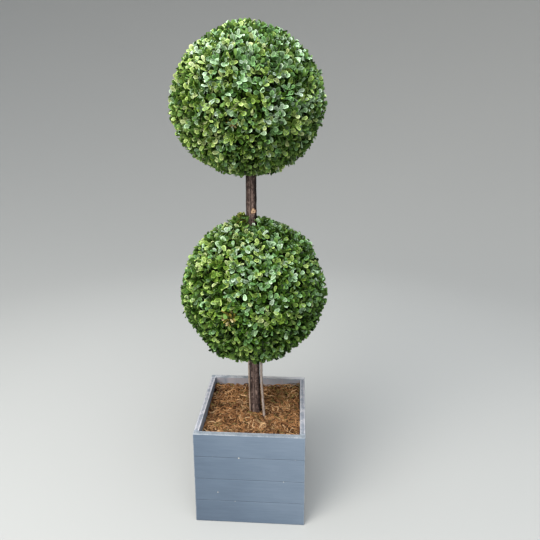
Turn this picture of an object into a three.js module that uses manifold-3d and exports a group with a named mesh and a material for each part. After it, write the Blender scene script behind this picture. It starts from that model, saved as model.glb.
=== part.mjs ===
// Potted double ball topiary: an artificial boxwood of two clipped balls on a bundle of natural wood
// stems, set in the fill of a square painted wood planter and dressed with coir.
// Millimetres, +Z up. The origin is the middle of the planter's flat underside, and its front faces -Y.
import * as THREE from 'three';
import { mergeVertices } from 'three/addons/utils/BufferGeometryUtils.js';
import Module from 'manifold-3d';

const wasm = await Module();
wasm.setup();

// Planter: four boards a side, butted at the corners, with a fine V groove at each joint
const PLANTER_WIDTH = 208;
const PLANTER_HEIGHT = 190;
const BOARD_THICKNESS = 10;
const BOARDS_HIGH = 4;
const GROOVE_HALF_WIDTH = 0.8;
const GROOVE_DEPTH = 1;

// Clearance between pieces that touch, such as a stem in its socket
const SEAT_GAP = 0.3;

// Fill that holds the stems, and the coir that hides it
const COIR_DEPTH = 20;
const COIR_LEVEL = 168;
const COIR_MOUND = 4;
const COIR_MOUND_REACH = 38;
const COIR_BACK_RISE = 3;
const COIR_ROUGHNESS = 1.2;
const COIR_CELLS = 9;

// Stems: two thick ones side by side carry both balls, and two thin ones reach only the lower ball
const STEM_FOOT = 60;
const STEM_SIDES = 10;
const STEM_STEP = 56;
const LEAN_FROM = 230;
const LEAN = -0.009;
const SWAY = 0.8;
const SWAY_LENGTH = 330;
const SOIL_SHIFT_Y = 4;
const MAIN_STEM_X = 8;
const MAIN_STEM_RADII = [5.2, 4.7];
const MAIN_STEM_TIP = 856;
const SECOND_STEM_X = -1.8;
const SECOND_STEM_RADII = [4.7, 4.3];
const SECOND_STEM_TIP = 822;
const RIGHT_STEM_X = 16.6;
const RIGHT_STEM_RADII = [2.6, 2.3];
const RIGHT_STEM_SPLAY = [5.4, -18];
const RIGHT_STEM_SPLAY_TOP = 252;
const RIGHT_STEM_SPLAY_FOOT = 166;
const RIGHT_STEM_FOOT = 122;
const LEFT_STEM_X = -8.3;
const LEFT_STEM_RADII = [1.5, 1.3];
const SIDE_STEM_TIP = 345;

// Balls: a core with sprigs of leaves that stand out of it to the clipped outline
const LOWER_BALL = new THREE.Vector3(3.3, 0, 436.6);
const UPPER_BALL = new THREE.Vector3(-3.8, 0, 791);
const BALL_REACH = 139.5;
const CORE_RADIUS = 119;
const CORE_LUMPS = 2.5;
const CORE_DETAIL = 3;
const SPRIGS = 62;
const SPRIG_TURN = Math.PI * (3 - Math.sqrt(5));
const SPRIG_LEAN = 0.15;
const TWIG_ROOT_DEPTH = 8;
const TWIG_TIP = 127;
const TWIG_TIP_SPREAD = 2.5;
const TWIG_RADII = [2.4, 2];
const LEAF_LENGTH = 35;
const LEAF_WIDTH = 27;
const LEAF_THICKNESS = 1.8;
const LEAF_WIDEST = 0.58;
const LEAF_ROOT_SINK = 0.6;
const LEAF_PAIRS = [
  { along: 0.64, spread: 1.26 },
  { along: 0.96, spread: 1.0 },
];
const LEAF_SPREAD_JITTER = 0.18;
const LEAF_SPREAD_STEP = 0.08;
const LEAF_TRIES = 7;
const LEAF_ROLL = 0.5;
const LEAF_STEM_CLEARANCE = 3;
const LOWER_SEED = 11;
const UPPER_SEED = 29;
const COIR_SEED = 5;

// Colour and roughness of each finish
const PAINTED_WOOD = { color: 0x8294a5, roughness: 0.6 };
const DARK_FILL = { color: 0x4b3a2c, roughness: 0.95 };
const COIR = { color: 0xa97743, roughness: 0.95 };
const DARK_BARK = { color: 0x4a3a33, roughness: 0.85 };
const GREY_BARK = { color: 0x6b5a4e, roughness: 0.85 };
const PALE_BARK = { color: 0x907b6d, roughness: 0.8 };
const FOLIAGE = { color: 0x537d37, roughness: 0.5 };

// Points of one mesh that lie this close are one point
const WELD = 1e-4;

const INNER_HALF = PLANTER_WIDTH / 2 - BOARD_THICKNESS;
const FILL_HALF = INNER_HALF - SEAT_GAP;
const FILL_TOP = COIR_LEVEL - COIR_DEPTH;

// A repeatable stream of numbers from 0 to 1, as a linear congruential generator of 32 bits
function seeded(seed) {
  const factor = 1664525;
  const step = 1013904223;
  let state = seed;
  return () => {
    state = (Math.imul(state, factor) + step) >>> 0;
    return state / 2 ** 32;
  };
}

function weld(geometry) {
  const bare = geometry.clone();
  bare.deleteAttribute('normal');
  bare.deleteAttribute('uv');
  return mergeVertices(bare, WELD);
}

function toSolid(geometry) {
  const closed = weld(geometry);
  return new wasm.Manifold(new wasm.Mesh({
    numProp: 3,
    vertProperties: new Float32Array(closed.attributes.position.array),
    triVerts: new Uint32Array(closed.index.array),
  }));
}

function toGeometry(solid) {
  const mesh = solid.getMesh();
  const geometry = new THREE.BufferGeometry();
  geometry.setAttribute('position', new THREE.BufferAttribute(new Float32Array(mesh.vertProperties), 3));
  geometry.setIndex(new THREE.BufferAttribute(new Uint32Array(mesh.triVerts), 1));
  geometry.computeVertexNormals();
  return geometry;
}

// Joins neighbours in pairs, so that no step works on more than it has to
function joined(solids) {
  let left = solids;
  while (left.length > 1) {
    const next = [];
    for (let i = 0; i < left.length; i += 2) {
      next.push(i + 1 < left.length ? left[i].add(left[i + 1]) : left[i]);
    }
    left = next;
  }
  return left[0];
}

// The largest body alone, which leaves out loose scraps and fills sealed hollows
function largestBody(solid) {
  const bodies = solid.decompose();
  return bodies.reduce((a, b) => (b.volume() > a.volume() ? b : a));
}

// The four walls and the floor in one turned section: a lathe of four segments is a square
function planterGeometry() {
  const corner = Math.SQRT2;
  const outer = PLANTER_WIDTH / 2;
  const boardHeight = PLANTER_HEIGHT / BOARDS_HIGH;
  const profile = [new THREE.Vector2(0, 0), new THREE.Vector2(outer * corner, 0)];
  for (let board = 1; board < BOARDS_HIGH; board += 1) {
    const joint = board * boardHeight;
    profile.push(new THREE.Vector2(outer * corner, joint - GROOVE_HALF_WIDTH));
    profile.push(new THREE.Vector2((outer - GROOVE_DEPTH) * corner, joint));
    profile.push(new THREE.Vector2(outer * corner, joint + GROOVE_HALF_WIDTH));
  }
  profile.push(new THREE.Vector2(outer * corner, PLANTER_HEIGHT));
  profile.push(new THREE.Vector2(INNER_HALF * corner, PLANTER_HEIGHT));
  profile.push(new THREE.Vector2(INNER_HALF * corner, BOARD_THICKNESS));
  profile.push(new THREE.Vector2(0, BOARD_THICKNESS));
  const geometry = new THREE.LatheGeometry(profile, 4, Math.PI / 4);
  geometry.rotateX(Math.PI / 2);
  return geometry;
}

function bundleAxis(x, z) {
  const sway = SWAY * Math.sin((2 * Math.PI * z) / SWAY_LENGTH);
  const rise = THREE.MathUtils.smoothstep(z, FILL_TOP, LOWER_BALL.z);
  return new THREE.Vector2(x + LEAN * (z - LEAN_FROM) + sway, SOIL_SHIFT_Y * (1 - rise));
}

// The right side stem steps away from the bundle towards its foot
function rightStemAxis(z) {
  const drop = (RIGHT_STEM_SPLAY_TOP - z) / (RIGHT_STEM_SPLAY_TOP - RIGHT_STEM_SPLAY_FOOT);
  const away = drop > 0 ? drop ** 1.5 : 0;
  const axis = bundleAxis(RIGHT_STEM_X, z);
  return new THREE.Vector2(axis.x + RIGHT_STEM_SPLAY[0] * away, axis.y + RIGHT_STEM_SPLAY[1] * away);
}

const STEMS = [
  {
    name: 'main_stem', foot: STEM_FOOT, tip: MAIN_STEM_TIP, radii: MAIN_STEM_RADII,
    finish: DARK_BARK, axis: (z) => bundleAxis(MAIN_STEM_X, z),
  },
  {
    name: 'second_stem', foot: STEM_FOOT, tip: SECOND_STEM_TIP, radii: SECOND_STEM_RADII,
    finish: GREY_BARK, axis: (z) => bundleAxis(SECOND_STEM_X, z),
  },
  {
    name: 'right_side_stem', foot: RIGHT_STEM_FOOT, tip: SIDE_STEM_TIP, radii: RIGHT_STEM_RADII,
    finish: PALE_BARK, axis: rightStemAxis,
  },
  {
    name: 'left_side_stem', foot: RIGHT_STEM_FOOT, tip: SIDE_STEM_TIP, radii: LEFT_STEM_RADII,
    finish: PALE_BARK, axis: (z) => bundleAxis(LEFT_STEM_X, z),
  },
];

// A tapering stem that follows its axis, or its socket when it is given some clearance
function stemGeometry(stem, clearance = 0) {
  const foot = stem.foot - clearance;
  const height = stem.tip - stem.foot + 2 * clearance;
  const rings = Math.max(2, Math.round(height / STEM_STEP));
  const geometry = new THREE.CylinderGeometry(1, 1, height, STEM_SIDES, rings);
  geometry.rotateX(Math.PI / 2);
  geometry.translate(0, 0, foot + height / 2);
  const position = geometry.attributes.position;
  for (let i = 0; i < position.count; i += 1) {
    const z = position.getZ(i);
    const up = (z - foot) / height;
    const radius = THREE.MathUtils.lerp(stem.radii[0], stem.radii[1], up) + clearance;
    const axis = stem.axis(z);
    position.setXY(i, axis.x + position.getX(i) * radius, axis.y + position.getY(i) * radius);
  }
  return geometry;
}

function stemSockets(origin = new THREE.Vector3()) {
  return joined(STEMS.map((stem) => {
    const socket = stemGeometry(stem, SEAT_GAP);
    socket.translate(-origin.x, -origin.y, -origin.z);
    return toSolid(socket);
  }));
}

// Packed fill from the floor to under the coir, with a socket for each stem
function fillGeometry() {
  const bottom = BOARD_THICKNESS + SEAT_GAP;
  const block = new THREE.BoxGeometry(2 * FILL_HALF, 2 * FILL_HALF, FILL_TOP - bottom);
  block.translate(0, 0, (FILL_TOP + bottom) / 2);
  return toGeometry(toSolid(block).subtract(stemSockets()));
}

// Top of the coir: mounded round the stems, a little higher along the back wall, and uneven
function coirHeight(x, y, random) {
  const away = Math.hypot(x - MAIN_STEM_X / 2, y - SOIL_SHIFT_Y) / COIR_MOUND_REACH;
  const mound = COIR_MOUND * Math.exp(-away * away);
  const back = COIR_BACK_RISE * THREE.MathUtils.smoothstep(y, 0, INNER_HALF);
  return COIR_LEVEL + mound + back + COIR_ROUGHNESS * (2 * random() - 1);
}

function coirGeometry() {
  const bottom = FILL_TOP + SEAT_GAP;
  const slab = weld(new THREE.BoxGeometry(2 * FILL_HALF, 2 * FILL_HALF, 1, COIR_CELLS, COIR_CELLS, 1));
  const random = seeded(COIR_SEED);
  const position = slab.attributes.position;
  for (let i = 0; i < position.count; i += 1) {
    const upper = position.getZ(i) > 0;
    position.setZ(i, upper ? coirHeight(position.getX(i), position.getY(i), random) : bottom);
  }
  return toGeometry(toSolid(slab).subtract(stemSockets()));
}

// A leaf of eight faces, widest past its middle, along +X from its root with its upper side to +Z
function leafGeometry() {
  const leaf = new THREE.OctahedronGeometry(1, 0);
  leaf.scale(LEAF_LENGTH / 2, LEAF_WIDTH / 2, LEAF_THICKNESS / 2);
  leaf.translate(LEAF_LENGTH / 2, 0, 0);
  const position = leaf.attributes.position;
  for (let i = 0; i < position.count; i += 1) {
    if (Math.abs(position.getY(i)) > 1) {
      position.setX(i, LEAF_LENGTH * LEAF_WIDEST);
    }
  }
  return leaf;
}

// True where a point in the ball's frame stays inside its reach and off every stem
function hasRoom(point, centre, clearance) {
  if (point.length() > BALL_REACH) {
    return false;
  }
  const z = point.z + centre.z;
  return STEMS.every((stem) => {
    if (z < stem.foot || z > stem.tip) {
      return true;
    }
    const axis = stem.axis(z);
    const away = Math.hypot(point.x + centre.x - axis.x, point.y + centre.y - axis.y);
    return away > stem.radii[0] + clearance;
  });
}

// A leaf rooted at a node of its twig, spread from the twig's axis to one side and rolled about itself
function placedLeaf(node, axis, across, spread, roll) {
  const along = axis.clone().multiplyScalar(Math.cos(spread)).addScaledVector(across, Math.sin(spread));
  const width = new THREE.Vector3().crossVectors(axis, along).normalize().applyAxisAngle(along, roll);
  const face = new THREE.Vector3().crossVectors(along, width);
  const root = node.clone().addScaledVector(along, -LEAF_ROOT_SINK);
  return leafGeometry().applyMatrix4(new THREE.Matrix4().makeBasis(along, width, face).setPosition(root));
}

function leafFits(leaf, centre) {
  const position = leaf.attributes.position;
  const corner = new THREE.Vector3();
  for (let i = 0; i < position.count; i += 1) {
    if (!hasRoom(corner.fromBufferAttribute(position, i), centre, SEAT_GAP)) {
      return false;
    }
  }
  return true;
}

// One sprig: a three-sided twig out of the core with leaves in crossed pairs
function sprig(outward, centre, random) {
  const lean = () => SPRIG_LEAN * (2 * random() - 1);
  const axis = outward.clone().add(new THREE.Vector3(lean(), lean(), lean())).normalize();
  const tip = TWIG_TIP + TWIG_TIP_SPREAD * (2 * random() - 1);
  const root = outward.clone().multiplyScalar(CORE_RADIUS - TWIG_ROOT_DEPTH);
  const length = tip - root.length();
  const end = root.clone().addScaledVector(axis, length);
  if (!hasRoom(end, centre, LEAF_STEM_CLEARANCE) || !hasRoom(root, centre, LEAF_STEM_CLEARANCE)) {
    return [];
  }
  const upright = new THREE.Quaternion().setFromUnitVectors(new THREE.Vector3(0, 1, 0), axis);
  const twig = new THREE.CylinderGeometry(TWIG_RADII[1], TWIG_RADII[0], length, 3, 1);
  twig.applyQuaternion(upright);
  twig.translate((root.x + end.x) / 2, (root.y + end.y) / 2, (root.z + end.z) / 2);
  const pieces = [toSolid(twig)];

  const turn = random() * Math.PI;
  LEAF_PAIRS.forEach((pair, level) => {
    const node = root.clone().addScaledVector(axis, length * pair.along);
    for (let side = 0; side < 2; side += 1) {
      const angle = turn + (level * Math.PI) / 2 + side * Math.PI;
      const across = new THREE.Vector3(Math.cos(angle), 0, Math.sin(angle)).applyQuaternion(upright);
      const spread = pair.spread + LEAF_SPREAD_JITTER * (2 * random() - 1);
      const roll = LEAF_ROLL * (2 * random() - 1);
      // A leaf that would pass the clipped outline spreads wider, and one that still has no room is left out
      for (let attempt = 0; attempt < LEAF_TRIES; attempt += 1) {
        const leaf = placedLeaf(node, axis, across, spread + attempt * LEAF_SPREAD_STEP, roll);
        if (leafFits(leaf, centre)) {
          pieces.push(toSolid(leaf));
          break;
        }
      }
    }
  });
  return pieces;
}

// The dense inside of a ball, slightly lumpy
function coreGeometry(random) {
  const core = weld(new THREE.IcosahedronGeometry(CORE_RADIUS, CORE_DETAIL));
  const position = core.attributes.position;
  const corner = new THREE.Vector3();
  for (let i = 0; i < position.count; i += 1) {
    corner.fromBufferAttribute(position, i).setLength(CORE_RADIUS + CORE_LUMPS * (2 * random() - 1));
    position.setXYZ(i, corner.x, corner.y, corner.z);
  }
  return core;
}

// A clipped ball: sprigs spaced evenly over the core by the golden angle, cut clear of the stems
function ballGeometry(centre, seed) {
  const random = seeded(seed);
  const pieces = [toSolid(coreGeometry(random))];
  for (let i = 0; i < SPRIGS; i += 1) {
    const height = 1 - (2 * i + 1) / SPRIGS;
    const ring = Math.sqrt(1 - height * height);
    const turn = i * SPRIG_TURN + seed;
    const outward = new THREE.Vector3(ring * Math.cos(turn), ring * Math.sin(turn), height);
    pieces.push(...sprig(outward, centre, random));
  }
  return toGeometry(largestBody(joined(pieces).subtract(stemSockets(centre))));
}

function part(name, geometry, finish) {
  const mesh = new THREE.Mesh(geometry, new THREE.MeshStandardMaterial({ ...finish, metalness: 0 }));
  mesh.name = name;
  return mesh;
}

const topiary = new THREE.Group();

const pot = new THREE.Group();
pot.add(part('planter', planterGeometry(), PAINTED_WOOD));
pot.add(part('planter_fill', fillGeometry(), DARK_FILL));
pot.add(part('coir_topping', coirGeometry(), COIR));
topiary.add(pot);

const stems = new THREE.Group();
STEMS.forEach((stem) => {
  stems.add(part(stem.name, stemGeometry(stem), stem.finish));
});
topiary.add(stems);

const lowerBall = part('lower_ball', ballGeometry(LOWER_BALL, LOWER_SEED), FOLIAGE);
lowerBall.position.copy(LOWER_BALL);
topiary.add(lowerBall);

const upperBall = part('upper_ball', ballGeometry(UPPER_BALL, UPPER_SEED), FOLIAGE);
upperBall.position.copy(UPPER_BALL);
topiary.add(upperBall);

export default topiary;
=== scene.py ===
import math

import bmesh
import bpy
import numpy as np
from mathutils import Matrix


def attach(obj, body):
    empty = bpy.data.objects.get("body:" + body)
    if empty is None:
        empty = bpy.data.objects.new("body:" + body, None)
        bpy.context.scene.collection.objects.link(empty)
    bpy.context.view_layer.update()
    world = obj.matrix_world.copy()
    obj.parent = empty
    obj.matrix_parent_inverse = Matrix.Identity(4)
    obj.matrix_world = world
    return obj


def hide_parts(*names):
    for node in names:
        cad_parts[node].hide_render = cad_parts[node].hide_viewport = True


# The looks of a double ball topiary: balls made leaf by leaf, stems with bark, coir strands, and a
# planter of painted boards. Shapes are worked out in millimetres in the frame of the solids, and scaled
# to metres when their mesh is made. The values up to the seeds are those of the solids.

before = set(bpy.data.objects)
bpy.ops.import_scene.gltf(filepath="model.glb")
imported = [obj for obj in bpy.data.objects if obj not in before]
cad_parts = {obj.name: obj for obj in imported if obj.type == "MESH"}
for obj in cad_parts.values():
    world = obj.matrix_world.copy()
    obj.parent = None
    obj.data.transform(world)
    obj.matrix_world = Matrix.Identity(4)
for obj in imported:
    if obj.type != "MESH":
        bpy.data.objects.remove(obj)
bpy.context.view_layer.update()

MM = 0.001

PLANTER_WIDTH = 208.0
PLANTER_HEIGHT = 190.0
BOARD_THICKNESS = 10.0
BOARDS_HIGH = 4
COIR_DEPTH = 20.0
COIR_LEVEL = 168.0
COIR_MOUND = 4.0
COIR_MOUND_REACH = 38.0
COIR_BACK_RISE = 3.0
STEM_FOOT = 60.0
LEAN_FROM = 230.0
LEAN = -0.009
SWAY = 0.8
SWAY_LENGTH = 330.0
SOIL_SHIFT_Y = 4.0
MAIN_STEM_X = 8.0
SECOND_STEM_X = -1.8
RIGHT_STEM_X = 16.6
RIGHT_STEM_SPLAY = (5.4, -18.0)
RIGHT_STEM_SPLAY_TOP = 252.0
RIGHT_STEM_SPLAY_FOOT = 166.0
LEFT_STEM_X = -8.3
SIDE_STEM_FOOT = 122.0
SIDE_STEM_TIP = 345.0
LOWER_BALL = np.array([3.3, 0.0, 436.6])
UPPER_BALL = np.array([-3.8, 0.0, 791.0])
BALL_REACH = 139.5
CORE_RADIUS = 119.0
CORE_CORNERS = 162
SPRIGS = 62
SPRIG_TURN = math.pi * (3 - math.sqrt(5))
SPRIG_LEAN = 0.15
TWIG_ROOT_DEPTH = 8.0
TWIG_TIP = 127.0
TWIG_TIP_SPREAD = 2.5
LEAF_DRAWS = 9
LEAF_SPREAD_STEP = 0.08
LEAF_TRIES = 7
LEAF_STEM_CLEARANCE = 3.0
LOWER_SEED = 11
UPPER_SEED = 29

INNER_HALF = PLANTER_WIDTH / 2 - BOARD_THICKNESS
FILL_TOP = COIR_LEVEL - COIR_DEPTH


def smoothstep(value, low, high):
    part = np.clip((value - low) / (high - low), 0.0, 1.0)
    return part * part * (3 - 2 * part)


def hump(away, width):
    """1 where away is 0, and fading out over about two widths."""
    return np.exp(-((away / width) ** 2))


def unit(vectors):
    return vectors / np.linalg.norm(vectors, axis=-1, keepdims=True)


def away_from(directions, side):
    """How far each direction points away from a side, which is given at any length."""
    return np.linalg.norm(directions - unit(np.array(side)), axis=1)


def seeded(seed):
    """The solids' repeatable stream of numbers from 0 to 1."""
    state = seed
    while True:
        state = (state * 1664525 + 1013904223) % 2**32
        yield state / 2**32


def grid_noise(along, around, cells_along, cells_around, rng):
    """Smooth noise from -1 to 1, where along runs from 0 to 1 and around joins up at 1."""
    grid = rng.uniform(-1, 1, (cells_along + 2, cells_around))
    a = np.clip(along, 0, 1) * cells_along
    b = np.mod(around, 1.0) * cells_around
    i = np.floor(a).astype(int)
    j = np.floor(b).astype(int) % cells_around
    k = (j + 1) % cells_around
    s = smoothstep(a - i, 0, 1)
    t = smoothstep(b - np.floor(b), 0, 1)
    low = grid[i, j] * (1 - t) + grid[i, k] * t
    high = grid[i + 1, j] * (1 - t) + grid[i + 1, k] * t
    return low * (1 - s) + high * s


def waves(points, length, rng, count=14):
    """Smooth noise of about -1 to 1 in space, whose swells are about the given length."""
    directions = unit(rng.normal(size=(count, 3)))
    phases = rng.uniform(0, 2 * math.pi, count)
    turns = points @ directions.T * (2 * math.pi / length) + phases
    return np.cos(turns).sum(axis=-1) * math.sqrt(2 / count) * 0.6


def linear(red, green, blue):
    """A colour in linear light from its screen values of 0 to 255."""
    shares = [channel / 255 for channel in (red, green, blue)]
    return tuple(s / 12.92 if s <= 0.04045 else ((s + 0.055) / 1.055) ** 2.4 for s in shares)


class Surface:
    """A material made up of nodes. Its methods take numbers, screen colours and other nodes' outputs."""

    def __init__(self, name):
        self.material = bpy.data.materials.new(name)
        self.material.use_nodes = True
        self.tree = self.material.node_tree
        self.shader = self.tree.nodes["Principled BSDF"]
        self.place = self.tree.nodes.new("ShaderNodeTexCoord").outputs["Object"]

    def set_input(self, socket, value):
        if isinstance(value, bpy.types.NodeSocket):
            self.tree.links.new(value, socket)
        elif isinstance(value, tuple) and socket.type == "RGBA":
            socket.default_value = (*linear(*value), 1.0)
        else:
            socket.default_value = value

    def node(self, kind, settings, inputs):
        """A node with its settings, and its inputs by name or number."""
        node = self.tree.nodes.new(kind)
        for key, value in settings.items():
            setattr(node, key, value)
        for key, value in inputs.items():
            self.set_input(node.inputs[key], value)
        return node

    def calculate(self, operation, first, second=0.0):
        return self.node("ShaderNodeMath", {"operation": operation}, {0: first, 1: second}).outputs[0]

    def add(self, *values):
        total = values[0]
        for value in values[1:]:
            total = self.calculate("ADD", total, value)
        return total

    def times(self, first, second):
        return self.calculate("MULTIPLY", first, second)

    def stretched(self, scale):
        """Each point's place with its three axes scaled, so that a pattern stretches along one."""
        return self.node("ShaderNodeMapping", {}, {"Vector": self.place, "Scale": scale}).outputs[0]

    def along(self, axis):
        """Each point's place along an axis, in metres."""
        return self.node("ShaderNodeSeparateXYZ", {}, {0: self.place}).outputs[axis]

    def noise(self, scale, detail=3.0, roughness=0.55, distortion=0.0, place=None):
        values = {"Scale": scale, "Detail": detail, "Roughness": roughness, "Distortion": distortion}
        values["Vector"] = self.place if place is None else place
        return self.node("ShaderNodeTexNoise", {}, values).outputs["Fac"]

    def span(self, value, low, high, to_low=0.0, to_high=1.0):
        """A value from low to high as one from to_low to to_high, and level beyond."""
        values = {"Value": value, "From Min": low, "From Max": high, "To Min": to_low, "To Max": to_high}
        return self.node("ShaderNodeMapRange", {}, values).outputs["Result"]

    def spread(self, noise, to_low, to_high):
        """The usual values of a noise, spread from to_low to to_high."""
        return self.span(noise, 0.3, 0.7, to_low, to_high)

    def mix(self, share, first, second):
        """The first colour, and the second one as the share rises to 1."""
        values = {0: share, 6: first, 7: second}
        return self.node("ShaderNodeMix", {"data_type": "RGBA"}, values).outputs[2]

    def ramp(self, share, places, colours):
        """Colours at their places from 0 to 1."""
        node = self.node("ShaderNodeValToRGB", {}, {"Fac": share})
        elements = node.color_ramp.elements
        while len(elements) < len(places):
            elements.new(0.5)
        for element, place, colour in zip(elements, places, colours):
            element.position = place
            element.color = (*linear(*colour), 1.0)
        return node.outputs["Color"]

    def finish(self, colour, roughness, shine=0.5):
        """Sets the colour, the roughness and how strongly the surface shines."""
        inputs = self.shader.inputs
        self.set_input(inputs["Base Color"], colour)
        self.set_input(inputs["Roughness"], roughness)
        self.set_input(inputs["Specular IOR Level"], shine)

    def bump(self, height, distance, strength):
        values = {"Height": height, "Distance": distance, "Strength": strength}
        bump = self.node("ShaderNodeBump", {}, values)
        self.set_input(self.shader.inputs["Normal"], bump.outputs["Normal"])


def leaf_material(name, colour, shine, roughness=0.36):
    """Moulded leaf in one plain colour, with an uneven sheen and fine ribs."""
    leaf = Surface(name)
    leaf.finish(colour, leaf.spread(leaf.noise(260.0, 2.0), roughness - 0.07, roughness + 0.1), shine)
    leaf.bump(leaf.noise(900.0, 2.0), 0.00025, 0.35)
    return leaf.material


def fibre_material(name, colour, roughness=0.85):
    """A strand or twig in one plain colour, with a fine rough grain."""
    fibre = Surface(name)
    grain = fibre.noise(700.0)
    fibre.finish(colour, fibre.spread(grain, roughness - 0.1, roughness + 0.1), 0.25)
    fibre.bump(grain, 0.0003, 0.5)
    return fibre.material


def bark_material(name, colours):
    """Bark whose fissures and strips come with the mesh as its bark_tone, under finer flecks."""
    bark = Surface(name)
    upright = bark.stretched((1.0, 1.0, 0.5))
    flecks = bark.noise(620.0, 4.0, 0.65, place=upright)
    scales = bark.noise(210.0, 3.0, 0.6, 0.4, place=upright)
    chips = bark.noise(430.0, 2.0, 0.5, place=upright)
    tone = bark.add(
        bark.node("ShaderNodeAttribute", {"attribute_name": "bark_tone"}, {}).outputs["Fac"],
        bark.spread(flecks, -0.22, 0.22),
        bark.spread(scales, -0.2, 0.2),
        bark.span(chips, 0.56, 0.66, 0.0, 0.3),
        bark.span(chips, 0.36, 0.44, -0.3, 0.0),
    )
    bark.finish(bark.ramp(tone, (0.08, 0.5, 0.95), colours), bark.spread(flecks, 0.7, 0.95), 0.25)
    bark.bump(bark.add(flecks, scales), 0.0007, 0.7)
    return bark.material


def cut_wood_material(name):
    """The pale end grain of a cut branch."""
    wood = Surface(name)
    grain = wood.noise(360.0, 4.0, 0.6)
    colours = ((124, 94, 72), (170, 138, 110), (198, 170, 142))
    wood.finish(wood.ramp(grain, (0.38, 0.5, 0.64), colours), wood.spread(grain, 0.7, 0.9))
    wood.bump(grain, 0.0003, 0.6)
    return wood.material


# Paint: how far its streaks are drawn out along the grain, the painted shade in its joints, where it is
# rubbed, and the bare wood under its chips
GRAIN_STRETCH = 0.07
JOINT_SHADE = (52, 58, 68)
RUBBED_PAINT = (168, 172, 177)
BARE_WOOD = ((176, 172, 164), (196, 190, 178))
# Chips in the front's paint, in metres: where, and how large
PAINT_CHIPS = (
    ((-0.019, -0.104, 0.1425), 0.0019),
    ((-0.060, -0.104, 0.066), 0.0014),
)


def chip_mask(paint, fleck, near_joint):
    """Where paint has chipped off: at flecks near a joint between boards, and at the front's own chips."""
    closeness = paint.span(near_joint, 0.0, 0.003, 0.11, 0.0)
    chips = paint.span(paint.add(fleck, closeness), 0.76, 0.81)
    for chip, size in PAINT_CHIPS:
        distance = paint.node("ShaderNodeVectorMath", {"operation": "DISTANCE"}, {0: paint.place, 1: chip})
        away = paint.add(distance.outputs["Value"], paint.times(fleck, 0.0012))
        chips = paint.calculate("MAXIMUM", chips, paint.span(away, size, size + 0.0004, 1.0, 0.0))
    return chips


def painted_material(name, grain_axis, colours, wear_and_joint_shade, roughness=0.58):
    """Flat paint on sawn boards: streaks along the grain, soft patches, chips by the boards' edges, and
    painted shade.
    """
    paint = Surface(name)
    drawn_out = paint.stretched(tuple(GRAIN_STRETCH if axis == grain_axis else 1.0 for axis in range(3)))
    grain = paint.noise(420.0, 5.0, 0.62, place=drawn_out)
    streaks = paint.noise(95.0, 3.0, 0.5, place=drawn_out)
    fleck = paint.noise(240.0, 3.0, 0.6)
    half = PLANTER_WIDTH / 2 * MM
    # Painted light and shade: darker towards the ground and to the left, lighter towards the top and to the
    # right
    tone = paint.add(
        paint.span(grain, 0.25, 0.75, 0.0, 0.16),
        paint.spread(streaks, 0.0, 0.1),
        paint.spread(paint.noise(11.0, 2.0, 0.5), 0.0, 0.14),
        paint.span(paint.along("Z"), 0.0, PLANTER_HEIGHT * MM, 0.06, 0.26),
        paint.span(paint.along("X"), -half, half, 0.0, 0.36),
    )
    coat = paint.ramp(tone, (0.1, 0.5, 0.92), colours)

    # Painted shade darkens the joints between boards, and the paint is rubbed at the upright corners
    near_joint = paint.calculate("PINGPONG", paint.along("Z"), PLANTER_HEIGHT / BOARDS_HIGH * MM / 2)
    coat = paint.mix(paint.span(near_joint, 0.0003, 0.0011, 0.4 * wear_and_joint_shade, 0.0), coat, JOINT_SHADE)
    out = paint.add(paint.calculate("ABSOLUTE", paint.along("X")), paint.times(fleck, 0.0016))
    coat = paint.mix(paint.span(out, half - 0.0007, half + 0.0005, 0.0, 0.7 * wear_and_joint_shade), coat, RUBBED_PAINT)

    chips = paint.times(chip_mask(paint, fleck, near_joint), wear_and_joint_shade)
    coat = paint.mix(chips, coat, paint.mix(grain, *BARE_WOOD))
    paint.finish(coat, paint.spread(streaks, roughness - 0.08, roughness + 0.1), 0.4)
    relief = paint.add(grain, paint.times(streaks, 0.5))
    paint.bump(paint.calculate("SUBTRACT", relief, chips), 0.0004, 0.55)
    return paint.material


# Where the rubbed edge of a rim starts and ends, in metres from the middle of its board
RIM_EDGE = (0.003, 0.0052)


def rim_material(name, across, rubbed, colours, right=0.0):
    """Sawn or rubbed edges of the boards: grainy worn paint, paler by the two edges of a board's top, which
    lie across the given axis, and with painted light and shade, lighter or darker to the right where that
    is given."""
    rim = Surface(name)
    grain = rim.noise(520.0, 4.0, 0.7)
    worn = rim.noise(70.0, 4.0, 0.6)
    out = rim.calculate("ABSOLUTE", rim.along(across))
    away = rim.calculate("SUBTRACT", out, (PLANTER_WIDTH - BOARD_THICKNESS) / 2 * MM)
    away = rim.add(rim.calculate("ABSOLUTE", away), rim.times(worn, 0.002))
    edge = rim.span(away, *RIM_EDGE, 0.0, rubbed)
    tone = rim.add(rim.times(grain, 0.55), rim.times(worn, 0.55), edge)
    # Painted light and shade: the tone shifts to the right by the given amount
    if right:
        tone = rim.add(tone, rim.span(rim.along("X"), 0.0, 0.03, 0.0, right))
    rim.finish(rim.ramp(tone, (0.36, 0.52, 0.7), colours), rim.spread(grain, 0.6, 0.85))
    rim.bump(grain, 0.0006, 0.7)
    return rim.material


# Inside the box: the thin coat from its runs to its lightest spots, the lighter, bluer coats of painted
# light to the right and on the left wall, the dust, and in metres where the left wall's coat and the dust
# end
INNER_COATS = ((84, 96, 112), (124, 126, 136), (146, 141, 147))
LIT_RIGHT_COAT = (146, 151, 160)
LIT_LEFT_COAT = (152, 166, 186)
LEFT_COAT_X = (-0.0939, -0.0925)
COIR_DUST = (140, 118, 98)
COIR_DUST_Z = (0.172, 0.178)


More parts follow.
